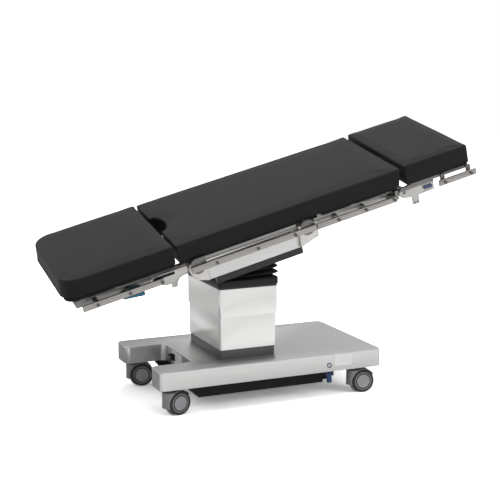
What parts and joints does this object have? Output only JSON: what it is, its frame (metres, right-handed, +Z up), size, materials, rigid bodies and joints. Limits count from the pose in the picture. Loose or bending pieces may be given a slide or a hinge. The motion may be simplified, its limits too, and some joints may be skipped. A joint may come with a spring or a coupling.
{
  "type": "operating table",
  "caption": "Motorised operating table: padded head, back, seat and leg sections on a tilting, telescopic column over a wheeled base with locking pedal.",
  "frame": {"origin": "on the floor, under the centre of the column", "axes": "+X towards the head end, +Y away from the control side, +Z up"},
  "size_m": [1.8235, 0.6839, 1.1868],
  "materials": {
    "cover_steel": "brushed stainless sheet",
    "frame_steel": "powder coat, dark grey",
    "black_plastic": "moulded, matt black",
    "pale_plastic": "plain moulded panel",
    "inlet_black": "moulded socket",
    "blue_plastic": "control blue",
    "glide_plastic": "low-friction band",
    "ground_steel": "ground shaft and rail",
    "bellows_rubber": "folded black rubber",
    "tray_black": "black coat",
    "section_frame": "cast and machined, satin",
    "rail_steel": "brushed bar",
    "pad_cover": "smooth coated upholstery over foam",
    "caster_grey": "moulded grey",
    "tyre": "grey tread",
    "hub_grey": "moulded hub"
  },
  "bodies": {
    "base": {"base_cover": "cover_steel", "base_frame": "frame_steel", "underpan": "black_plastic", "battery_pack": "black_plastic", "socket_panel": "pale_plastic", "mains_inlet": "inlet_black", "side_plate": "pale_plastic", "marker_ring": "blue_plastic", "column_plinth": "cover_steel", "plinth_glides": "glide_plastic", "outer_mast": "frame_steel", "lift_cylinder": "frame_steel"},
    "pedal": {"brake_pedal": "blue_plastic"},
    "mid": {"mid_sleeve": "cover_steel", "mid_glides": "glide_plastic"},
    "column": {"upper_sleeve": "cover_steel", "column_head": "frame_steel", "inner_mast": "frame_steel", "lift_rod": "ground_steel", "lateral_drive": "frame_steel", "bellows_lip": "bellows_rubber", "bellows": "bellows_rubber"},
    "cross": {"cross_block": "frame_steel"},
    "tray": {"slide_bed": "tray_black", "linear_rails": "ground_steel", "pitch_drive": "frame_steel"},
    "seat": {"seat_frame": "section_frame", "seat_panels": "cover_steel", "leg_housings": "section_frame", "back_housings": "section_frame", "seat_rails": "rail_steel", "seat_plate": "black_plastic", "seat_pad": "pad_cover", "bend_piece": "pad_cover"},
    "back": {"back_frame": "section_frame", "back_rails": "rail_steel", "back_plate": "black_plastic", "back_pad": "pad_cover"},
    "head": {"head_frame": "section_frame", "head_rails": "rail_steel", "head_plate": "black_plastic", "head_pad": "pad_cover"},
    "head_lever": {"head_release": "blue_plastic"},
    "leg": {"leg_frame": "section_frame", "leg_rails": "rail_steel", "leg_plate": "black_plastic", "leg_pad": "pad_cover"},
    "leg_lever": {"leg_release": "blue_plastic"},
    "fork_near_foot": {"caster_housing_near_foot": "caster_grey"},
    "wheel_near_foot": {"caster_tyres_near_foot": "tyre", "caster_hubs_near_foot": "hub_grey"},
    "fork_near_head": {"caster_housing_near_head": "caster_grey"},
    "wheel_near_head": {"caster_tyres_near_head": "tyre", "caster_hubs_near_head": "hub_grey"},
    "fork_far_foot": {"caster_housing_far_foot": "caster_grey"},
    "wheel_far_foot": {"caster_tyres_far_foot": "tyre", "caster_hubs_far_foot": "hub_grey"},
    "fork_far_head": {"caster_housing_far_head": "caster_grey"},
    "wheel_far_head": {"caster_tyres_far_head": "tyre", "caster_hubs_far_head": "hub_grey"}
  },
  "joints": [
    {"name": "brake_pedal_press", "type": "hinge", "parent": "base", "child": "pedal", "pos_m": [0.337, -0.286, 0.109], "axis": [1, 0, 0], "range_deg": [0, 15], "stiffness_Nm_per_rad": 2},
    {"name": "column_lift", "type": "slide", "parent": "base", "child": "column", "axis": [0, 0, 1], "range_m": [-0.06, 0.16]},
    {"name": "mid_sleeve_lift", "type": "slide", "parent": "base", "child": "mid", "axis": [0, 0, 1], "range_m": [-0.03, 0.08]},
    {"name": "lateral_tilt", "type": "hinge", "parent": "column", "child": "cross", "pos_m": [0, 0, 0.566], "axis": [1, 0, 0], "range_deg": [-30, 6], "deforming": ["bellows"]},
    {"name": "longitudinal_tilt", "type": "hinge", "parent": "cross", "child": "tray", "pos_m": [0, 0, 0.566], "axis": [0, -0.9785, -0.2062], "range_deg": [-36, 9]},
    {"name": "tabletop_slide", "type": "slide", "parent": "tray", "child": "seat", "axis": [0.9617, -0.0565, 0.2682], "range_m": [-0.1, 0.08]},
    {"name": "back_section_angle", "type": "hinge", "parent": "seat", "child": "back", "pos_m": [0.21087, -0.05206, 0.81305], "axis": [0, 0.9785, 0.2062], "range_deg": [-65, 25], "deforming": ["bend_piece"]},
    {"name": "head_section_angle", "type": "hinge", "parent": "back", "child": "head", "pos_m": [0.66575, -0.0788, 0.93993], "axis": [0, -0.9785, -0.2062], "range_deg": [-30, 9]},
    {"name": "head_release_turn", "type": "hinge", "parent": "head", "child": "head_lever", "pos_m": [0.79173, -0.0847, 0.96794], "axis": [0, -0.9785, -0.2062], "range_deg": [0, 20], "stiffness_Nm_per_rad": 1},
    {"name": "leg_section_angle", "type": "hinge", "parent": "seat", "child": "leg", "pos_m": [-0.26806, -0.02391, 0.67947], "axis": [0, 0.9785, 0.2062], "range_deg": [-30, 0]},
    {"name": "leg_release_turn", "type": "hinge", "parent": "leg", "child": "leg_lever", "pos_m": [-0.50355, -0.00471, 0.58835], "axis": [0, -0.9785, -0.2062], "range_deg": [0, 20], "stiffness_Nm_per_rad": 1},
    {"name": "swivel_near_foot", "type": "hinge", "parent": "base", "child": "fork_near_foot", "pos_m": [-0.383, -0.245, 0.1], "axis": [0, 0, 1], "continuous": true},
    {"name": "roll_near_foot", "type": "hinge", "parent": "fork_near_foot", "child": "wheel_near_foot", "pos_m": [-0.34419, -0.23532, 0.05], "axis": [-0.2419, 0.9703, 0], "continuous": true},
    {"name": "swivel_near_head", "type": "hinge", "parent": "base", "child": "fork_near_head", "pos_m": [0.478, -0.245, 0.1], "axis": [0, 0, 1], "continuous": true},
    {"name": "roll_near_head", "type": "hinge", "parent": "fork_near_head", "child": "wheel_near_head", "pos_m": [0.51778, -0.24918, 0.05], "axis": [0.1045, 0.9945, 0], "continuous": true},
    {"name": "swivel_far_foot", "type": "hinge", "parent": "base", "child": "fork_far_foot", "pos_m": [-0.383, 0.245, 0.1], "axis": [0, 0, 1], "continuous": true},
    {"name": "roll_far_foot", "type": "hinge", "parent": "fork_far_foot", "child": "wheel_far_foot", "pos_m": [-0.34387, 0.23668, 0.05], "axis": [0.2079, 0.9781, 0], "continuous": true},
    {"name": "swivel_far_head", "type": "hinge", "parent": "base", "child": "fork_far_head", "pos_m": [0.478, 0.245, 0.1], "axis": [0, 0, 1], "continuous": true},
    {"name": "roll_far_head", "type": "hinge", "parent": "fork_far_head", "child": "wheel_far_head", "pos_m": [0.51778, 0.24918, 0.05], "axis": [-0.1045, 0.9945, 0], "continuous": true}
  ],
  "couplings": [
    {"joint": "mid_sleeve_lift", "follows": "column_lift", "ratio": 0.5}
  ]
}
